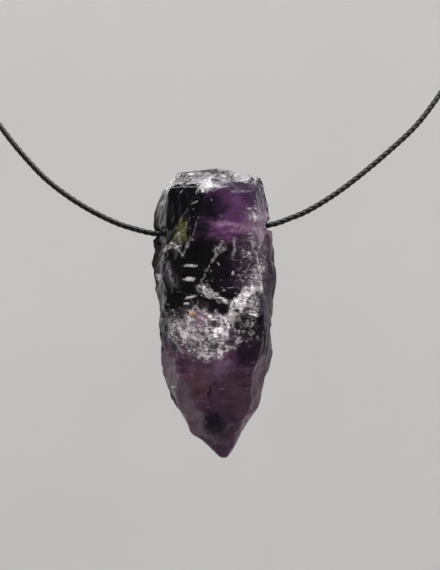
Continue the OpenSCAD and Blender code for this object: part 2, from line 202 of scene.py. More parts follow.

# Painted highlights along edges, and whitish healed cracks, on the front, in millimetres from the hole:
# width, how far they stand out, how far they are whitened, then the points of each
Line = namedtuple("Line", "wide raised pale points")
LINES = [Line(*row) for row in [
    (0.45, 0.03, 0.33, [(-2.2, 6.5), (-2.3, 3.6), (-2.6, 1.6)]),
    (0.45, 0.04, 0.50, [(-3.3, 3.9), (-2.6, 4.4)]),
    (0.4, 0.04, 0.42, [(-2.6, 1.6), (-2.9, 0.2), (-3.5, -1.9)]),
    (0.6, 0.08, 0.60, [(-3.5, -1.9), (-4.6, -4.2)]),
    (0.4, 0.04, 0.52, [(-6.5, 8.2), (-7.9, 4.2), (-9.0, 0.4)]),
    (0.6, 0.05, 0.66, [(0.6, -4.4), (-0.1, -5.6)]),
    (0.8, 0.05, 0.42, [(-0.5, -6.4), (-1.1, -7.4), (-1.7, -8.7)]),
    (0.55, 0.05, 0.66, [(3.6, -1.7), (3.4, -3.0), (3.2, -4.6)]),
    (0.35, 0.03, 0.40, [(3.2, -4.6), (3.3, -6.6)]),
    (1.2, 0.10, 0.40, [(-8.8, -4.2), (-8.0, -5.2), (-6.8, -7.6), (-6.2, -9.4)]),
    (0.35, 0.02, 0.36, [(-1.1, 5.6), (-0.4, 4.2), (0.5, 2.8), (1.3, 2.0)]),
    (0.5, 0.08, 0.66, [(-4.3, -14.4), (-3.0, -12.7), (-0.3, -14.4), (1.9, -15.2)]),
    (0.5, 0.05, 0.54, [(-7.3, -15.0), (-7.4, -17.7), (-5.9, -19.3), (-5.4, -20.4)]),
    (0.6, 0.05, 0.52, [(-7.2, -14.9), (-5.4, -15.2)]),
    (0.6, 0.04, 0.38, [(-7.8, -10.0), (-7.2, -13.5), (-7.6, -16.1)]),
    (0.8, 0.05, 0.66, [(2.2, -14.4), (4.2, -12.2), (6.4, -10.6), (7.2, -9.2)]),
    (0.5, 0.05, 0.50, [(7.2, -9.2), (8.0, -7.0), (8.7, -4.6)]),
    (0.4, 0.05, 0.50, [(4.6, -8.2), (6.2, -5.6)]),
    (0.4, 0.05, 0.56, [(5.6, -9.0), (7.2, -6.4)]),
    (0.35, 0.04, 0.54, [(5.0, -5.2), (6.4, -3.4)]),
    (0.5, 0.06, 0.58, [(-8.2, -3.4), (-7.4, -2.8), (-6.2, -3.2), (-4.8, -3.9)]),
    (0.25, 0.01, 0.42, [(2.9, -0.8), (3.7, 0.5)]),
    (0.25, 0.01, 0.46, [(3.6, -1.6), (5.2, 0.9)]),
    (0.25, 0.01, 0.42, [(5.4, -1.3), (6.0, -0.2)]),
]]

# Short raised ledges, painted with a highlight where they catch the light: place, half length, half height
# and lean
Ledge = namedtuple("Ledge", "right up long tall lean")
LEDGE_RAISED = 0.18
LEDGE_SQUARE = 2.5
LEDGE_SOFT = 0.7
LEDGES = [
    Ledge(-3.6, -6.1, 1.1, 0.26, 4),
    Ledge(-3.8, -8.4, 1.1, 0.28, 0),
    Ledge(-3.8, -11.2, 1.0, 0.24, -14),
    Ledge(-4.4, -12.3, 0.5, 0.18, 0),
    Ledge(-9.2, -7.8, 0.6, 0.6, 0),
    Ledge(8.6, 1.4, 0.3, 0.6, 20),
    Ledge(3.2, -7.4, 0.25, 0.35, 0),
]

# Shell-shaped scars struck off the surface, in millimetres: great scars, flakes and crushed facets.
# share: the field that says where they fall; wide, deep: least and greatest half width and depth;
# lean: how far a scar's face leans, in degrees
Scars = namedtuple("Scars", "share count wide deep lean")
SCARS = [
    Scars("breaks", 260, (1.5, 3.2), (0.14, 0.34), 7),
    Scars("flakes", 700, (0.6, 1.5), (0.08, 0.22), 14),
    Scars("frost", 1500, (0.30, 0.8), (0.07, 0.20), 24),
]
# A scar is struck only where its field is over this, and no further than this many of its half widths
SCAR_EDGE = 0.12
SCAR_REACH = 1.5

# How far the borders of zones wander: wavelength, reach and seed of each wave, in millimetres, and the share
# of it by which lines and ledges wander
WAVES = [(2.6, 0.6, 4), (0.9, 0.45, 9), (0.45, 0.3, 15)]
LINE_WANDER = 0.4
LEDGE_WANDER = 0.35

# Zones of the front or back fade out round the flanks over this depth
FLANK_FADE = 6

# No relief inside the drilled hole: how far from the hole's middle it starts, and over what width it grows
FREE_FROM = 1.2
FREE_OVER = 0.6

# The most that scars take off in all, in millimetres: on the sides, and on the front and back
SIDE_DEPTH = 0.26
FACE_DEPTH = 0.95

# Layers of fine relief, ledges and then grains. cell: size of a chip along x, y and z in millimetres;
# tilt: how steeply it leans; share: the field that says where they are; seed: shifts the pattern
Layer = namedtuple("Layer", "cell tilt share seed")
LAYERS = [
    Layer((2.6, 2.6, 1.1), 0.40, "ledges", 5),
    Layer((0.6, 0.6, 0.6), 0.10, "frost", 17),
]

# The backdrop in metres: height of the floor, radius of the curve up into the wall, and the wall's top
FLOOR = -1.0
COVE = 0.35
WALL_TOP = 1.3
BOWL_STEPS = 48

# Square lamps with a soft face, in metres. place and aim: where each stands and what it is turned to;
# wide and tall: its face; glow: its brightness as the stone sees it; mirrored: whether the stone mirrors it
Lamp = namedtuple("Lamp", "name place aim wide tall glow mirrored")
LAMPS = [
    Lamp("overhead", (0.1, -0.3, 0.85), HOLE, 0.8, 0.6, 5.0, True),
    Lamp("backdrop_wash", (-0.25, 0.25, 1.1), (-0.1, 1.3, -0.3), 2.0, 0.5, 3.2, True),
    Lamp("window_left", (-0.42, -0.76, 0.91), HOLE, 0.24, 0.30, 18.0, True),
    Lamp("window_right", (0.85, -0.75, 0.35), HOLE, 0.12, 0.30, 12.0, True),
    Lamp("front_fill", (0, -1.15, 0.65), HOLE, 1.3, 0.5, 0.9, False),
    Lamp("back_left", (-0.55, 0.75, 0.45), HOLE, 0.35, 0.5, 3.6, True),
    Lamp("back_right", (0.55, 0.75, 0.45), HOLE, 0.35, 0.5, 3.6, True),
]

# The kinds of node that are used most
MATH = "ShaderNodeMath"
VECTOR_MATH = "ShaderNodeVectorMath"
MAP_RANGE = "ShaderNodeMapRange"
NOISE = "ShaderNodeTexNoise"
MIX = "ShaderNodeMix"

# What a panel's length has
LENGTH = {"subtype": "DISTANCE", "unit": "LENGTH"}


def plain(hex_colour):
    """A colour of the picture, as hex, in Blender's own linear red, green, blue and alpha."""
    parts = [int(hex_colour[k:k + 2], 16) / 255 for k in (1, 3, 5)]
    linear = [c / 12.92 if c <= 0.04045 else ((c + 0.055) / 1.055) ** 2.4 for c in parts]
    return (*linear, 1.0)


def opaque(colour):
    """A panel's colour with the alpha that a node's colour socket wants."""
    return (*colour, 1)


def add_node(tree, kind, inputs=None, **settings):
    """Adds a node. inputs maps a socket's name or number to a value, an output or a node's first output."""
    new = tree.nodes.new(kind)
    for name, value in settings.items():
        setattr(new, name, value)
    for key, value in (inputs or {}).items():
        if isinstance(value, bpy.types.Node):
            value = value.outputs[0]
        if isinstance(value, bpy.types.NodeSocket):
            tree.links.new(value, new.inputs[key])
        else:
            new.inputs[key].default_value = value
    return new


def new_material(name):
    """A material with an empty tree; returns both."""
    material = bpy.data.materials.new(name)
    material.use_nodes = True
    material.node_tree.nodes.clear()
    return material, material.node_tree


def new_tree(name, sizes):
    """A Geometry Nodes tree with a named input for each size; returns it, its ends and the sizes' keys."""
    tree = bpy.data.node_groups.new(name, "GeometryNodeTree")
    tree.interface.new_socket("Geometry", in_out="INPUT", socket_type="NodeSocketGeometry")
    tree.interface.new_socket("Geometry", in_out="OUTPUT", socket_type="NodeSocketGeometry")
    keys = {}
    for label, kind in sizes.items():
        keys[label] = tree.interface.new_socket(label, in_out="INPUT", socket_type=kind).identifier
    return tree, tree.nodes.new("NodeGroupInput"), tree.nodes.new("NodeGroupOutput"), keys


def values_of(keys, settings):
    """A panel's values for a tree's inputs, which have the same names."""
    return {key: getattr(settings, label.lower().replace(" ", "_")) for label, key in keys.items()}


def modified(name, mesh, kind, settings, inputs=None):
    """The mesh that one modifier makes of a mesh; inputs are those of its Geometry Nodes tree, by key."""
    carrier = bpy.data.objects.new(name, mesh)
    bpy.context.scene.collection.objects.link(carrier)
    modifier = carrier.modifiers.new(name, kind)
    for key, value in settings.items():
        setattr(modifier, key, value)
    for key, value in (inputs or {}).items():
        modifier[key] = value
    evaluated = carrier.evaluated_get(bpy.context.evaluated_depsgraph_get())
    result = bpy.data.meshes.new_from_object(evaluated)
    bpy.data.objects.remove(carrier)
    result.name = name
    return result


def of_points(mesh, name):
    """A value of every point of a mesh, such as its place or its normal, as rows of three numbers."""
    values = np.empty(len(mesh.vertices) * 3)
    mesh.vertices.foreach_get(name, values)
    return values.reshape(-1, 3)


def placed(name, mesh, material):
    """A finished piece: an object at the origin with one material."""
    mesh.materials.clear()
    mesh.materials.append(material)
    piece = bpy.data.objects.new(name, mesh)
    bpy.context.scene.collection.objects.link(piece)
    return piece


# The stone


def stone_body(voxel_mm):
    """The CAD crystal, evenly meshed, in millimetres from the hole."""
    body = frame["nodes"]["crystal_point"].data.copy()
    shell = bmesh.new()
    shell.from_mesh(body)
    bmesh.ops.remove_doubles(shell, verts=shell.verts, dist=MERGE)
    for vert in shell.verts:
        vert.co = (vert.co - HOLE) / MM
    shell.to_mesh(body)
    shell.free()
    body.attributes.active = None
    even = {"mode": "VOXEL", "voxel_size": voxel_mm, "adaptivity": 0}
    return modified("stone_body", body, "REMESH", even)


def from_hole(places):
    """The part of each place that lies along the drilled hole, and the part that leads away from it."""
    along = (places @ HOLE_WAY)[:, None] * HOLE_WAY
    return along, places - along


def close_mouths(places):
    """Draws the hole's worn mouths in, so that the stone hides the cord up to its edge."""
    along, off = from_hole(places)
    far = np.linalg.norm(off, axis=1)
    share = np.interp(far, PLAIN_MOUTH, CLOSE_MOUTH, left=1) / np.maximum(far, PLAIN_MOUTH[0])
    return along + off * np.where((far > PLAIN_MOUTH[0]) & (far < PLAIN_MOUTH[-1]), share, 1)[:, None]


def wander(places, size, reach, seed):
    """A smooth random shift for each place: size is its wavelength and reach its length, in millimetres."""
    noise.seed_set(seed)
    return reach * np.array([noise.noise_vector(Vector(p) / size) for p in places])


def share_of(places, shift, zone):
    """How much of a zone each place has, from 0 to 1."""
    turn = radians(zone.lean)
    right = places[:, 0] + shift[:, 0] - zone.right
    up = places[:, 2] + shift[:, 2] - zone.up
    across = np.abs(right * cos(turn) - up * sin(turn)) / zone.wide
    along = np.abs(right * sin(turn) + up * cos(turn)) / zone.tall
    far = (across ** zone.square + along ** zone.square) ** (1 / zone.square)
    share = np.clip((1 + zone.soft - far) / (2 * zone.soft), 0, 1)
    share = share * share * (3 - 2 * share)
    if zone.side != "all":
        way = -1 if zone.side == "front" else 1
        share = share * np.clip(0.5 + way * places[:, 1] / FLANK_FADE, 0, 1)
    return share


def line_share(places, line):
    """How near each place on the front is to a line of points, from 0 to 1."""
    flat = places[:, [0, 2]]
    best = np.zeros(len(flat))
    for start, end in zip(line.points, line.points[1:]):
        start = np.array(start)
        way = np.array(end) - start
        along = np.clip((flat - start) @ way / (way @ way), 0, 1)
        apart = np.linalg.norm(flat - start - along[:, None] * way, axis=1)
        best = np.maximum(best, np.clip(1 - apart / line.wide, 0, 1))
    return np.where(places[:, 1] < 0, best, 0)


def paint_fields(places):
    """The stone's colour and surface fields at each place."""
    count = len(places)
    shift = sum(wander(places, *wave) for wave in WAVES)
    tint = np.zeros((count, 4))
    fields = {name: np.zeros(count) for name in FIELDS}
    for zone in ZONES:
        share = share_of(places, shift, zone)
        tint += share[:, None] * (np.array(plain(zone.tint)) - tint)
        for name in FIELDS:
            fields[name] += share * (getattr(zone, name) - fields[name])
    # Lines and ledges stand out of the surface; the glint field holds their painted highlights and the
    # whitening of healed cracks
    raised = np.zeros(count)
    glint = np.zeros(count)
    for line in LINES:
        share = line_share(places + LINE_WANDER * shift, line)
        raised += share * line.raised
        glint = np.maximum(glint, share * line.pale)
    for ledge in LEDGES:
        spot = Zone("front", *ledge, LEDGE_SQUARE, LEDGE_SOFT, None, *[None] * len(FIELDS))
        share = share_of(places, LEDGE_WANDER * shift, spot)
        raised += LEDGE_RAISED * share
        glint = np.maximum(glint, share)
    fields["glint"] = glint
    fields["raised"] = raised
    # Nothing is built up inside the drilled hole
    far = np.linalg.norm(from_hole(places)[1], axis=1)
    fields["free"] = np.clip((far - FREE_FROM) / FREE_OVER, 0, 1)
    return tint, fields


def broken_stone(voxel_mm, proud, seed):
    """The stone with its scars struck and its fields stored, in millimetres from the hole."""
    mesh = stone_body(voxel_mm)
    places = close_mouths(of_points(mesh, "co"))
    mesh.vertices.foreach_set("co", places.ravel())
    mesh.update()
    tint, fields = paint_fields(places)
    places, fields["face"] = strike_scars(mesh, places, fields, proud, seed)
    mesh.vertices.foreach_set("co", places.ravel())
    mesh.update()
    colour = mesh.attributes.new("tint", "FLOAT_COLOR", "POINT")
    colour.data.foreach_set("color", tint.ravel())
    for name, values in fields.items():
        mesh.attributes.new(name, "FLOAT", "POINT").data.foreach_set("value", values)
    return mesh


def strike_scars(mesh, places, fields, proud, seed):
    """Strikes shell-shaped scars off the surface; returns the new places and each point's own scar value."""
    draw = np.random.default_rng(seed)
    normals = of_points(mesh, "normal")
    places = places + proud * fields["free"][:, None] * normals
    whole = places.copy()
    # Scars go deeper into the front and the back than into the sides, whose outline stays
    deepest = SIDE_DEPTH + (FACE_DEPTH - SIDE_DEPTH) * np.abs(normals[:, 1]) ** 2
    # Where nothing is struck, the value is a middling one
    face = np.full(len(places), 0.5)
    for kind in SCARS:
        for _ in range(kind.count):
            middle = draw.integers(len(places))
            wide = draw.uniform(*kind.wide)
            deep = draw.uniform(*kind.deep)
            lean = draw.normal(size=3)
            value, chance = draw.uniform(size=2)
            if chance > fields[kind.share][middle]:
                continue
            out = normals[middle] + sin(radians(kind.lean)) * lean
            out /= np.linalg.norm(out)
            radius = (wide ** 2 + deep ** 2) / (2 * deep)
            centre = places[middle] + out * (radius - deep)
            near = np.nonzero(np.abs(places - places[middle]).max(axis=1) < SCAR_REACH * wide)[0]
            away = places[near] - centre
            far = np.linalg.norm(away, axis=1)
            hit = (far < radius) & (fields["free"][near] > 0.5) & (fields[kind.share][near] > SCAR_EDGE)
            struck = near[hit]
            dug = centre + away[hit] * (radius / far[hit])[:, None] - whole[struck]
            length = np.linalg.norm(dug, axis=1)
            places[struck] = whole[struck] + dug * np.minimum(1, deepest[struck] / length)[:, None]
            face[struck] = value
    return places, face


def breakage_tree(material):
    """Geometry Nodes that tilt the stone's surface in chips, layer over layer."""
    tree, start, end, keys = new_tree(
        "Broken Stone", {"Chip Size": "NodeSocketFloat", "Chip Depth": "NodeSocketFloat"}
    )
    place = add_node(tree, "GeometryNodeInputPosition").outputs["Position"]
    field = {
        name: add_node(tree, "GeometryNodeInputNamedAttribute", {"Name": name}).outputs["Attribute"]
        for name in ("raised", "free", "ledges", "frost")
    }
    height = field["raised"]
    for layer in LAYERS:
        cell = add_node(
            tree, VECTOR_MATH, {0: layer.cell, "Scale": start.outputs["Chip Size"]}, operation="SCALE"
        )
        scaled = add_node(tree, VECTOR_MATH, {0: place, 1: cell}, operation="DIVIDE")
        seeded = add_node(tree, VECTOR_MATH, {0: scaled, 1: (layer.seed,) * 3})
        chip = add_node(tree, "ShaderNodeTexVoronoi", {"Vector": seeded, "Scale": 1.0})
        local = add_node(tree, VECTOR_MATH, {0: seeded, 1: chip.outputs["Position"]}, operation="SUBTRACT")
        lean = add_node(
            tree, VECTOR_MATH, {0: chip.outputs["Color"], 1: (2, 2, 2), 2: (-1, -1, -1)},
            operation="MULTIPLY_ADD",
        )
        slope = add_node(tree, VECTOR_MATH, {0: local, 1: lean}, operation="DOT_PRODUCT")
        tilted = add_node(tree, MATH, {0: slope.outputs["Value"], 1: layer.tilt}, operation="MULTIPLY")
        depth = add_node(
            tree, MATH, {0: start.outputs["Chip Depth"], 1: field[layer.share]}, operation="MULTIPLY"
        )
        height = add_node(tree, MATH, {0: tilted, 1: depth, 2: height}, operation="MULTIPLY_ADD")
    lift = add_node(tree, MATH, {0: height, 1: field["free"]}, operation="MULTIPLY")
    out = add_node(tree, "GeometryNodeInputNormal").outputs["Normal"]
    move = add_node(tree, VECTOR_MATH, {0: out, "Scale": lift}, operation="SCALE")
    moved = add_node(
        tree, "GeometryNodeSetPosition", {"Geometry": start.outputs["Geometry"], "Offset": move}
    )
    real = add_node(tree, "GeometryNodeRealizeInstances", {0: moved})
    finish = add_node(tree, "GeometryNodeSetMaterial", {0: real, "Material": material})
    tree.links.new(finish.outputs[0], end.inputs[0])
    return tree, keys


def amethyst(settings):
    """Raw amethyst, a quartz: IOR 1.54, broken by hand, so glassy chips beside frosted, granular breaks,
    with highlights, sheen and shade painted into its colour.
    """
    material, tree = new_material("Raw amethyst, broken")
    place = add_node(tree, "ShaderNodeTexCoord").outputs["Object"]
    # The patterns' places are in millimetres from the hole
    fine = add_node(
        tree, "ShaderNodeMapping",
        {"Vector": place, "Scale": (1 / MM,) * 3, "Location": [-value for value in HOLE_MM]},
    )
    field = {
        name: add_node(tree, "ShaderNodeAttribute", attribute_name=name).outputs["Fac"]
        for name in ("gloss", "clear", "veils", "frost", "flakes", "face", "glint", "ribs")
    }
    tint = add_node(tree, "ShaderNodeAttribute", attribute_name="tint").outputs["Color"]

    # Cloudy growth zones, about a millimetre across, vary the depth of the colour
    clouds = add_node(tree, NOISE, {"Vector": fine, "Scale": 0.55, "Detail": 6, "Roughness": 0.62})
    depth = add_node(tree, MAP_RANGE, {0: clouds, 1: 0.32, 2: 0.68, 3: 0.6, 4: 1.45})
    # Painted highlight and shade: where chips are many, each struck facet is painted brighter or darker of
    # its own, as if it caught the light in its own way
    facet = add_node(tree, MAP_RANGE, {0: field["face"], 1: 0, 2: 1, 3: 0.12, 4: 1.9})
    faceted = add_node(tree, MIX, {"Factor": field["flakes"], 2: 1.0, 3: facet}, data_type="FLOAT")
    # Growth lines of the faces with ribs run from top to bottom, half a millimetre apart, painted as light
    # and dark streaks that stand in for their sheen
    drawn = add_node(tree, "ShaderNodeMapping", {"Vector": fine, "Scale": (1.5, 0.6, 0.10)})
    growth = add_node(tree, NOISE, {"Vector": drawn, "Scale": 1.3, "Detail": 4})
    growth_line_sheen = add_node(tree, MAP_RANGE, {0: growth, 1: 0.5, 2: 0.74, 3: 0.3, 4: 14.0})
    rib_sheen = add_node(tree, MIX, {"Factor": field["ribs"], 2: 1.0, 3: growth_line_sheen}, data_type="FLOAT")
    # The tint is darkened and lightened by its clouds, by the painted light and shade of each facet and by
    # the painted sheen of the growth lines
    light = add_node(tree, MATH, {0: depth, 1: faceted}, operation="MULTIPLY")
    light = add_node(tree, MATH, {0: light, 1: rib_sheen}, operation="MULTIPLY")
    clouded_and_lit = add_node(tree, VECTOR_MATH, {0: tint, "Scale": light}, operation="SCALE")

    # Veils: pale healed cracks that run nearly level, a third of a millimetre thick
    slanted = add_node(
        tree, "ShaderNodeMapping",
        {"Vector": fine, "Rotation": (0, radians(9), 0), "Scale": (0.40, 0.5, 1.15)},
    )
    streaks = add_node(
        tree, NOISE, {"Vector": slanted, "Scale": 0.8, "Detail": 8, "Roughness": 0.62, "Distortion": 0.3}
    )
    veil = add_node(tree, MAP_RANGE, {0: streaks, 1: 0.46, 2: 0.68, 3: 0, 4: 0.85})
    veiled = add_node(tree, MATH, {0: veil, 1: field["veils"]}, operation="MULTIPLY")
    with_veils = add_node(
        tree, MIX, {"Factor": veiled, 6: clouded_and_lit, 7: opaque(settings.veil_colour)}, data_type="RGBA"
    )

    # Crushed stone: whitish grains and splinters a third of a millimetre across, their brightest specks
    # painted as sparkle highlights, with painted shade in the gaps between them
    splintered = add_node(
        tree, "ShaderNodeMapping",
        {"Vector": fine, "Rotation": (0, radians(-40), 0), "Scale": (0.8, 1, 1.25)},
    )
    splinters = add_node(
        tree, NOISE, {"Vector": splintered, "Scale": 1.5, "Detail": 3, "Roughness": 0.66, "Distortion": 0.7}
    )
    grains = add_node(tree, "ShaderNodeTexVoronoi", {"Vector": splintered, "Scale": 2.5})
    grain = add_node(tree, "ShaderNodeSeparateColor", {0: grains.outputs["Color"]})
    beds = add_node(tree, NOISE, {"Vector": fine, "Scale": 0.6, "Detail": 2})
    crushed = add_node(tree, MATH, {0: grain, 1: 0.30, 2: splinters}, operation="MULTIPLY_ADD")
    layered = add_node(tree, MATH, {0: beds, 1: 0.7, 2: crushed}, operation="MULTIPLY_ADD")
    brightness = add_node(tree, MAP_RANGE, {0: layered, 1: 0.98, 2: 1.26, 3: 0, 4: 1})
    pit_shade = add_node(tree, MAP_RANGE, {0: layered, 1: 0.82, 2: 1.04, 3: 0.16, 4: 1.2})
    shaded_pits = add_node(tree, VECTOR_MATH, {0: tint, "Scale": pit_shade}, operation="SCALE")
    ground = add_node(
        tree, MIX, {"Factor": brightness, 6: shaded_pits, 7: opaque(settings.pale_and_highlight_colour)}, data_type="RGBA"
    )
    # Painted highlight and shade: each crushed facet is painted brighter or darker of its own, as if it
    # caught the light in its own way
    spark = add_node(tree, MAP_RANGE, {0: field["face"], 1: 0, 2: 1, 3: 0.30, 4: 1.9})
    sparked = add_node(tree, MIX, {"Factor": field["flakes"], 2: 1.0, 3: spark}, data_type="FLOAT")
    sparkling = add_node(tree, VECTOR_MATH, {0: ground.outputs[2], "Scale": sparked}, operation="SCALE")
    # The same splinters make every border ragged
    torn = add_node(tree, MATH, {0: splinters, 1: 1.0, 2: -0.5}, operation="MULTIPLY_ADD")
    ragged = add_node(tree, MATH, {0: torn, 1: 3.0, 2: 1.0}, operation="MULTIPLY_ADD")
    frosted = add_node(tree, MATH, {0: field["frost"], 1: ragged}, operation="MULTIPLY")
    frost = add_node(tree, MAP_RANGE, {0: frosted, 1: 0.18, 2: 0.50, 3: 0, 4: 1})
    crushed_and_sparkle_colour = add_node(
        tree, MIX, {"Factor": frost, 6: with_veils.outputs[2], 7: sparkling}, data_type="RGBA"
    )
    # Painted highlights on edges and ledges, and the whitening of healed cracks; worn here is the ragged
    # break-up of these lines, not wear
    worn = add_node(tree, MATH, {0: torn, 1: 2.1, 2: 1.0}, operation="MULTIPLY_ADD")
    caught = add_node(tree, MATH, {0: field["glint"], 1: worn}, operation="MULTIPLY")
    bright = add_node(tree, MAP_RANGE, {0: caught, 1: 0.30, 2: 1.05, 3: 0, 4: 1})
    colour = add_node(
        tree, MIX,
        {"Factor": bright, 6: crushed_and_sparkle_colour.outputs[2], 7: opaque(settings.pale_and_highlight_colour)},
        data_type="RGBA",
    )

    # Broken quartz is glassy; scuffed patches between are duller
    scuffs = add_node(tree, NOISE, {"Vector": fine, "Scale": 0.8, "Detail": 4})
    wear = add_node(tree, MAP_RANGE, {0: scuffs, 1: 0.4, 2: 0.7, 3: 0.8, 4: 1.5})
    rough = add_node(tree, MATH, {0: field["gloss"], 1: wear}, operation="MULTIPLY")

    # Steps finer than the mesh
    steps = add_node(tree, NOISE, {"Vector": fine, "Scale": 3.2, "Detail": 5, "Roughness": 0.6})
    edge = add_node(tree, MATH, {0: steps, 1: crushed})
    worked = add_node(tree, MATH, {0: field["flakes"], 1: 0.10, 2: 0.03}, operation="MULTIPLY_ADD")
    strength = add_node(tree, MATH, {0: frost, 1: 0.8, 2: worked}, operation="MULTIPLY_ADD")
    bump = add_node(tree, "ShaderNodeBump", {"Height": edge, "Strength": strength, "Distance": 0.12 * MM})
    surface = add_node(
        tree, "ShaderNodeBsdfPrincipled",
        {
            "Base Color": colour.outputs[2], "Roughness": rough, "IOR": 1.54,
            "Transmission Weight": field["clear"], "Normal": bump,
        },
    )
    out = add_node(tree, "ShaderNodeOutputMaterial", {"Surface": surface})
    out.is_active_output = True
    return material


# The cord


def spline_points(route, step):
    """Points along the smooth curve through a route in millimetres, no further apart than step."""
    route = [Vector((x * MM, y * MM, z * MM)) for x, y, z in route]
    points = []
    for k in range(len(route) - 1):
        b, c = route[k], route[k + 1]
        a = route[k - 1] if k else 2 * b - c
        d = route[k + 2] if k < len(route) - 2 else 2 * c - b
        ta, tb, tc = ((q - p).length ** 0.5 for p, q in ((a, b), (b, c), (c, d)))
        into = (b - a) / ta - (c - a) / (ta + tb) + (c - b) / tb
        away = (c - b) / tb - (d - b) / (tb + tc) + (d - c) / tc
        count = int((c - b).length / step) + 1
        for n in range(count):
            s = n / count
            points.append(
                b + s * tb * into + s ** 2 * (3 * (c - b) - tb * (2 * into + away))
                + s ** 3 * (2 * (b - c) + tb * (into + away))
            )
    points.append(route[-1])
    return points


def path_mesh(name, paths):
    """A mesh of edges through the points of each path."""
    points = []
    edges = []
    for path in paths:
        edges += [(len(points) + k, len(points) + k + 1) for k in range(len(path) - 1)]
        points += [tuple(p) for p in path]
    mesh = bpy.data.meshes.new(name)
    mesh.from_pydata(points, edges, [])
    return mesh


def laid_cord_tree(material):
    """Geometry Nodes that sweep three twisted plies, pressed into one cord, along each path."""
    tree, start, end, keys = new_tree(
        "Laid Cord",
        {"Thickness": "NodeSocketFloat", "Lay": "NodeSocketFloat", "Groove": "NodeSocketFloat",
         "Sides": "NodeSocketInt"},
    )
    curve = add_node(tree, "GeometryNodeMeshToCurve", {0: start.outputs["Geometry"]})
    length = add_node(tree, "GeometryNodeSplineParameter").outputs["Length"]
    stored = add_node(
        tree, "GeometryNodeStoreNamedAttribute", {"Geometry": curve, "Name": "along", "Value": length},
        data_type="FLOAT", domain="POINT",
    )
    turns = add_node(tree, MATH, {0: length, 1: start.outputs["Lay"]}, operation="DIVIDE")
    twist = add_node(tree, MATH, {0: turns, 1: 2 * pi}, operation="MULTIPLY")
    twisted = add_node(tree, "GeometryNodeSetCurveTilt", {"Curve": stored, "Tilt": twist})

    # The section: a circle with three grooves
    radius = add_node(tree, MATH, {0: start.outputs["Thickness"], 1: 0.5}, operation="MULTIPLY")
    circle = add_node(
        tree, "GeometryNodeCurvePrimitiveCircle", {"Resolution": start.outputs["Sides"], "Radius": radius}
    )
    place = add_node(tree, "GeometryNodeInputPosition")
    part = add_node(tree, "ShaderNodeSeparateXYZ", {0: place})
    angle = add_node(tree, MATH, {0: part.outputs[1], 1: part.outputs[0]}, operation="ARCTAN2")
    # Half a wave to each of the three plies
    half = add_node(tree, MATH, {0: angle, 1: 3 / 2}, operation="MULTIPLY")
    wave = add_node(tree, MATH, {0: half}, operation="COSINE")
    crest = add_node(tree, MATH, {0: wave}, operation="ABSOLUTE")
    low = add_node(tree, MATH, {0: 1.0, 1: start.outputs["Groove"]}, operation="SUBTRACT")
    reach = add_node(tree, MATH, {0: crest, 1: start.outputs["Groove"], 2: low}, operation="MULTIPLY_ADD")
    around = add_node(
        tree, "GeometryNodeStoreNamedAttribute",
        {"Geometry": circle, "Name": "around", "Value": place},
        data_type="FLOAT_VECTOR", domain="POINT",
    )
    lobed = add_node(tree, VECTOR_MATH, {0: place, "Scale": reach}, operation="SCALE")
    section = add_node(tree, "GeometryNodeSetPosition", {"Geometry": around, "Position": lobed})
    tube = add_node(
        tree, "GeometryNodeCurveToMesh", {0: twisted, "Profile Curve": section, "Fill Caps": True}
    )
    smooth = add_node(tree, "GeometryNodeSetShadeSmooth", {0: tube})
    real = add_node(tree, "GeometryNodeRealizeInstances", {0: smooth})
    finish = add_node(tree, "GeometryNodeSetMaterial", {0: real, "Material": material})
    tree.links.new(finish.outputs[0], end.inputs[0])
    return tree, keys


def waxed_cotton(settings):
    """Waxed cotton cord, laid and drawn through black wax: soft gloss on each ply, wax worn paler in
    patches.
    """
    name = "Waxed cotton cord, black"
    if name in bpy.data.materials:
        return bpy.data.materials[name]
    material, tree = new_material(name)
    around = add_node(tree, "ShaderNodeAttribute", attribute_name="around").outputs["Vector"]
    along = add_node(tree, "ShaderNodeAttribute", attribute_name="along").outputs["Fac"]
    # Across the cord in millimetres, and along it drawn out six times, so that the yarns run lengthwise
    down = add_node(tree, "ShaderNodeCombineXYZ", {2: along})
    spot = add_node(tree, VECTOR_MATH, {0: down, 1: (1, 1, 0.16), 2: around}, operation="MULTIPLY_ADD")
    yarn = add_node(tree, VECTOR_MATH, {0: spot, "Scale": 1 / MM}, operation="SCALE")
    worn = add_node(tree, NOISE, {"Vector": yarn, "Scale": 2.2, "Detail": 3, "Roughness": 0.6})
    wax = add_node(tree, MAP_RANGE, {0: worn, 1: 0.48, 2: 0.72, 3: 0, 4: 1})
    colour = add_node(
        tree, MIX,
        {"Factor": wax, 6: opaque(settings.cord_colour), 7: opaque(settings.worn_colour)},
        data_type="RGBA",
    )
    rough = add_node(tree, MAP_RANGE, {0: wax, 1: 0, 2: 1, 3: 0.27, 4: 0.5})
    # Cotton yarns, 0.1 mm apart: drawn coarser than real so that they show
    fibres = add_node(tree, NOISE, {"Vector": yarn, "Scale": 7.0, "Detail": 3})
    bump = add_node(tree, "ShaderNodeBump", {"Height": fibres, "Strength": 0.6, "Distance": 0.06 * MM})
    surface = add_node(
        tree, "ShaderNodeBsdfPrincipled",
        {"Base Color": colour.outputs[2], "Roughness": rough, "IOR": 1.45, "Normal": bump},
    )
    add_node(tree, "ShaderNodeOutputMaterial", {"Surface": surface})
    return material


def laid_cord(name, paths, settings):
    """A laid cord along each path, as one finished piece."""
    material = waxed_cotton(settings)
    tree, keys = laid_cord_tree(material)
    mesh = modified(name, path_mesh(name, paths), "NODES", {"node_group": tree}, values_of(keys, settings))
    return placed(name, mesh, material)


# What a user would change


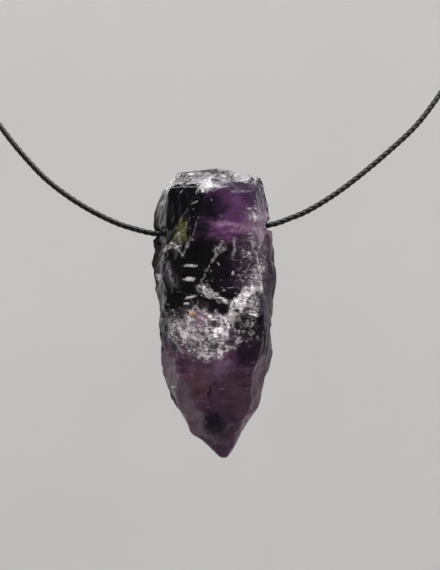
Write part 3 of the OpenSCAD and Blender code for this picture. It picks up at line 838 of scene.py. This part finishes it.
class StoneSettings(bpy.types.PropertyGroup):
    """Sizes and colours of the stone."""

    voxel: FloatProperty(
        name="Mesh Step", description="Spacing of the stone's mesh, in millimetres", default=0.188
    )
    proud: FloatProperty(
        name="Proud", default=0.22,
        description="Height of the unbroken surface above the plain one, in millimetres",
    )
    seed: IntProperty(name="Seed", description="Another seed strikes other scars", default=6)
    chip_size: FloatProperty(name="Chip Size", description="Scale of all the chips", default=1.0)
    chip_depth: FloatProperty(name="Chip Depth", description="Scale of the chips' depth", default=1.0)
    crease: FloatProperty(
        name="Crease", description="Edges sharper than this are drawn sharp", default=radians(28),
        subtype="ANGLE",
    )
    # The colour of the painted highlights on edges, ledges and crushed sparkle, and of whitish cracks and
    # grains
    pale_and_highlight_colour: FloatVectorProperty(
        name="Edges", description="Colour of bright edges and ledges", default=plain("#ece7e8")[:3],
        subtype="COLOR",
    )
    veil_colour: FloatVectorProperty(
        name="Veils", description="Colour of the veils in the purple bands", default=plain("#ae87a8")[:3],
        subtype="COLOR",
    )


class CordSettings(bpy.types.PropertyGroup):
    """Sizes and colour of the cord and its knot."""

    thickness: FloatProperty(name="Thickness", description="Diameter of the cord", default=0.001, **LENGTH)
    lay: FloatProperty(name="Lay", description="Length of one turn of a ply", default=0.0036, **LENGTH)
    groove: FloatProperty(
        name="Groove", description="Depth between two plies, as a share of the radius", default=0.24,
        subtype="FACTOR", min=0, max=1,
    )
    sides: IntProperty(name="Sides", description="Sides of the section, eight to a ply", default=24, min=12)
    step: FloatProperty(name="Step", description="Longest step along the cord", default=0.0003, **LENGTH)
    wraps: IntProperty(name="Wraps", description="Turns of the closing knot", default=7, min=3)
    tail: FloatProperty(
        name="Tail", description="Length of each cut end at the knot", default=0.004, **LENGTH
    )
    cord_colour: FloatVectorProperty(
        name="Wax", description="Colour of the waxed cord", default=plain("#0e0d0f")[:3], subtype="COLOR"
    )
    worn_colour: FloatVectorProperty(
        name="Worn", description="Colour where wax is worn", default=plain("#333132")[:3], subtype="COLOR"
    )


class StudioSettings(bpy.types.PropertyGroup):
    """Colour and distance of the backdrop."""

    backdrop: FloatVectorProperty(
        name="Backdrop", description="Colour of the floor and the wall", default=plain("#dad9d8")[:3],
        subtype="COLOR",
    )
    radius: FloatProperty(name="Radius", description="Distance of the wall", default=1.6, **LENGTH)


class PENDANT_OT_stone(bpy.types.Operator):
    """Make the broken stone over the plain crystal"""

    bl_idname = "pendant.stone"
    bl_label = "Stone"

    def execute(self, context):
        settings = context.scene.pendant_stone
        even = broken_stone(settings.voxel, settings.proud, settings.seed)
        material = amethyst(settings)
        tree, keys = breakage_tree(material)
        mesh = modified("raw_crystal", even, "NODES", {"node_group": tree}, values_of(keys, settings))
        places = of_points(mesh, "co") * MM + np.array(HOLE)
        mesh.vertices.foreach_set("co", places.ravel())
        mesh.shade_smooth()
        mesh.set_sharp_from_angle(angle=settings.crease)
        mesh.update()
        stone = placed("raw_crystal", mesh, material)
        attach(stone, "crystal")
        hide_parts("crystal_point")
        return {"FINISHED"}


class PENDANT_OT_cord(bpy.types.Operator):
    """Make the laid cord along its route"""

    bl_idname = "pendant.cord"
    bl_label = "Cord"

    def execute(self, context):
        settings = context.scene.pendant_cord
        cord = laid_cord("waxed_neck_cord", [spline_points(CORD_ROUTE, settings.step)], settings)
        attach(cord, "cord_loop")
        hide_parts("neck_cord")
        return {"FINISHED"}


class PENDANT_OT_knot(bpy.types.Operator):
    """Make the wrapped closing knot at the nape"""

    bl_idname = "pendant.knot"
    bl_label = "Knot"

    def execute(self, context):
        settings = context.scene.pendant_cord
        low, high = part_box("nape_knot")
        middle = (low + high) / 2
        coil = (high.z - low.z) / 2 - settings.thickness / 2
        reach = (high.x - low.x) / 2 - settings.thickness / 2
        count = settings.wraps * TURN_STEPS
        helix = []
        for n in range(count + 1):
            share = n / count
            turn = 2 * pi * settings.wraps * share
            helix.append(middle + Vector((reach * (2 * share - 1), coil * cos(turn), coil * sin(turn))))
        # The two cut ends leave the wraps on the side away from the neck
        tails = []
        for side in (-1, 1):
            root = middle + Vector((side * reach * TAIL_ROOT[0], coil * TAIL_ROOT[1], 0))
            way = Vector((side * TAIL_WAY[0], TAIL_WAY[1], TAIL_WAY[2])).normalized()
            tip = root + settings.tail * way
            tails.append([root.lerp(tip, n / TAIL_STEPS) for n in range(TAIL_STEPS + 1)])
        knot = laid_cord("wrapped_nape_knot", [helix] + tails, settings)
        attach(knot, "cord_loop")
        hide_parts("nape_knot")
        return {"FINISHED"}


def backdrop_paint(colour):
    """Painted plaster wall and floor: matt, faintly uneven from the roller."""
    material = bpy.data.materials.new("Painted plaster")
    material.use_nodes = True
    tree = material.node_tree
    surface = tree.nodes["Principled BSDF"]
    place = add_node(tree, "ShaderNodeTexCoord").outputs["Object"]
    roller = add_node(tree, NOISE, {"Vector": place, "Scale": 3.0, "Detail": 3})
    uneven = add_node(tree, MAP_RANGE, {0: roller, 1: 0.3, 2: 0.7, 3: 0.97, 4: 1.03})
    painted = add_node(tree, VECTOR_MATH, {0: tuple(colour), "Scale": uneven}, operation="SCALE")
    tree.links.new(painted.outputs[0], surface.inputs["Base Color"])
    surface.inputs["Roughness"].default_value = 0.9
    return material


def bowl(name, radius, start, end, material):
    """A floor that curves up into a round wall between two angles."""
    outline = [(0.0, FLOOR)]
    for angle in range(0, 91, 9):
        bend = radians(angle)
        outline.append((radius - COVE + COVE * sin(bend), FLOOR + COVE * (1 - cos(bend))))
    outline.append((radius, WALL_TOP))
    shape = bmesh.new()
    columns = []
    for n in range(BOWL_STEPS + 1):
        turn = radians(start + (end - start) * n / BOWL_STEPS)
        columns.append([
            shape.verts.new((HOLE.x + r * sin(turn), HOLE.y + r * cos(turn), z)) for r, z in outline
        ])
    for one, two in zip(columns, columns[1:]):
        for k in range(len(outline) - 1):
            shape.faces.new((one[k], two[k], two[k + 1], one[k + 1]))
    bmesh.ops.remove_doubles(shape, verts=shape.verts, dist=MERGE)
    mesh = bpy.data.meshes.new(name)
    shape.to_mesh(mesh)
    shape.free()
    mesh.shade_smooth()
    piece = placed(name, mesh, material)
    return piece


def softbox(name, place, aim, wide, tall, glow, mirrored):
    """A row of the table of lamps."""
    data = bpy.data.lights.new(name, "AREA")
    data.shape = "RECTANGLE"
    data.size = wide
    data.size_y = tall
    data.energy = glow * pi * wide * tall
    lamp = bpy.data.objects.new(name, data)
    bpy.context.scene.collection.objects.link(lamp)
    lamp.location = place
    lamp.rotation_euler = (Vector(aim) - Vector(place)).to_track_quat("-Z", "Y").to_euler()
    lamp.visible_glossy = mirrored


class PENDANT_OT_studio(bpy.types.Operator):
    """Set up the backdrop, the lights and the camera"""

    bl_idname = "pendant.studio"
    bl_label = "Studio"

    def execute(self, context):
        scene = context.scene
        settings = scene.pendant_studio
        paint = backdrop_paint(settings.backdrop)
        bowl("studio_backdrop", settings.radius, -90, 90, paint)
        front = bowl("studio_front", settings.radius, 90, 270, paint)
        # The front half stays out of reflections, so that the stone's black faces stay black
        front.visible_glossy = False
        front.visible_transmission = False

        for lamp in LAMPS:
            softbox(*lamp)

        world = bpy.data.worlds.new("Studio air")
        world.use_nodes = True
        world.node_tree.nodes["Background"].inputs["Color"].default_value = plain("#7e7e7e")
        world.node_tree.nodes["Background"].inputs["Strength"].default_value = 0.5
        scene.world = world
        scene.view_settings.view_transform = "Standard"

        lens = bpy.data.cameras.new("camera")
        lens.lens = LENS
        lens.sensor_width = SENSOR
        distance = LENS / SENSOR * PHOTO_TALL / PIXELS_PER_METRE
        camera = bpy.data.objects.new("camera", lens)
        scene.collection.objects.link(camera)
        camera.location = HOLE + Vector((
            (PHOTO_WIDE / 2 - HOLE_PIXEL[0]) / PIXELS_PER_METRE,
            -distance,
            (HOLE_PIXEL[1] - PHOTO_TALL / 2) / PIXELS_PER_METRE,
        ))
        camera.rotation_euler = (radians(90), 0, 0)
        lens.clip_start = 0.01
        scene.camera = camera
        return {"FINISHED"}


class PENDANT_PT_panel(bpy.types.Panel):
    """The pendant's pieces in the sidebar"""

    bl_label = "Crystal Point Pendant"
    bl_space_type = "VIEW_3D"
    bl_region_type = "UI"
    bl_category = "Pendant"

    def draw(self, context):
        for operator, group in PIECES:
            box = self.layout.box()
            box.operator(operator)
            if group:
                settings = getattr(context.scene, group)
                for name in settings.bl_rna.properties.keys():
                    if name not in {"rna_type", "name"}:
                        box.prop(settings, name)


PIECES = [
    ("pendant.studio", "pendant_studio"),
    ("pendant.cord", "pendant_cord"),
    ("pendant.knot", None),
    ("pendant.stone", "pendant_stone"),
]
GROUPS = {"pendant_stone": StoneSettings, "pendant_cord": CordSettings, "pendant_studio": StudioSettings}
CLASSES = [
    StoneSettings, CordSettings, StudioSettings, PENDANT_OT_stone, PENDANT_OT_cord, PENDANT_OT_knot,
    PENDANT_OT_studio, PENDANT_PT_panel,
]


def register():
    for item in CLASSES:
        bpy.utils.register_class(item)
    for name, group in GROUPS.items():
        setattr(bpy.types.Scene, name, PointerProperty(type=group))


def unregister():
    for name in GROUPS:
        delattr(bpy.types.Scene, name)
    for item in reversed(CLASSES):
        bpy.utils.unregister_class(item)


def main():
    """Makes every piece in order."""
    register()
    for operator, _ in PIECES:
        group, name = operator.split(".")
        getattr(getattr(bpy.ops, group), name)()


if __name__ == "__main__":
    main()
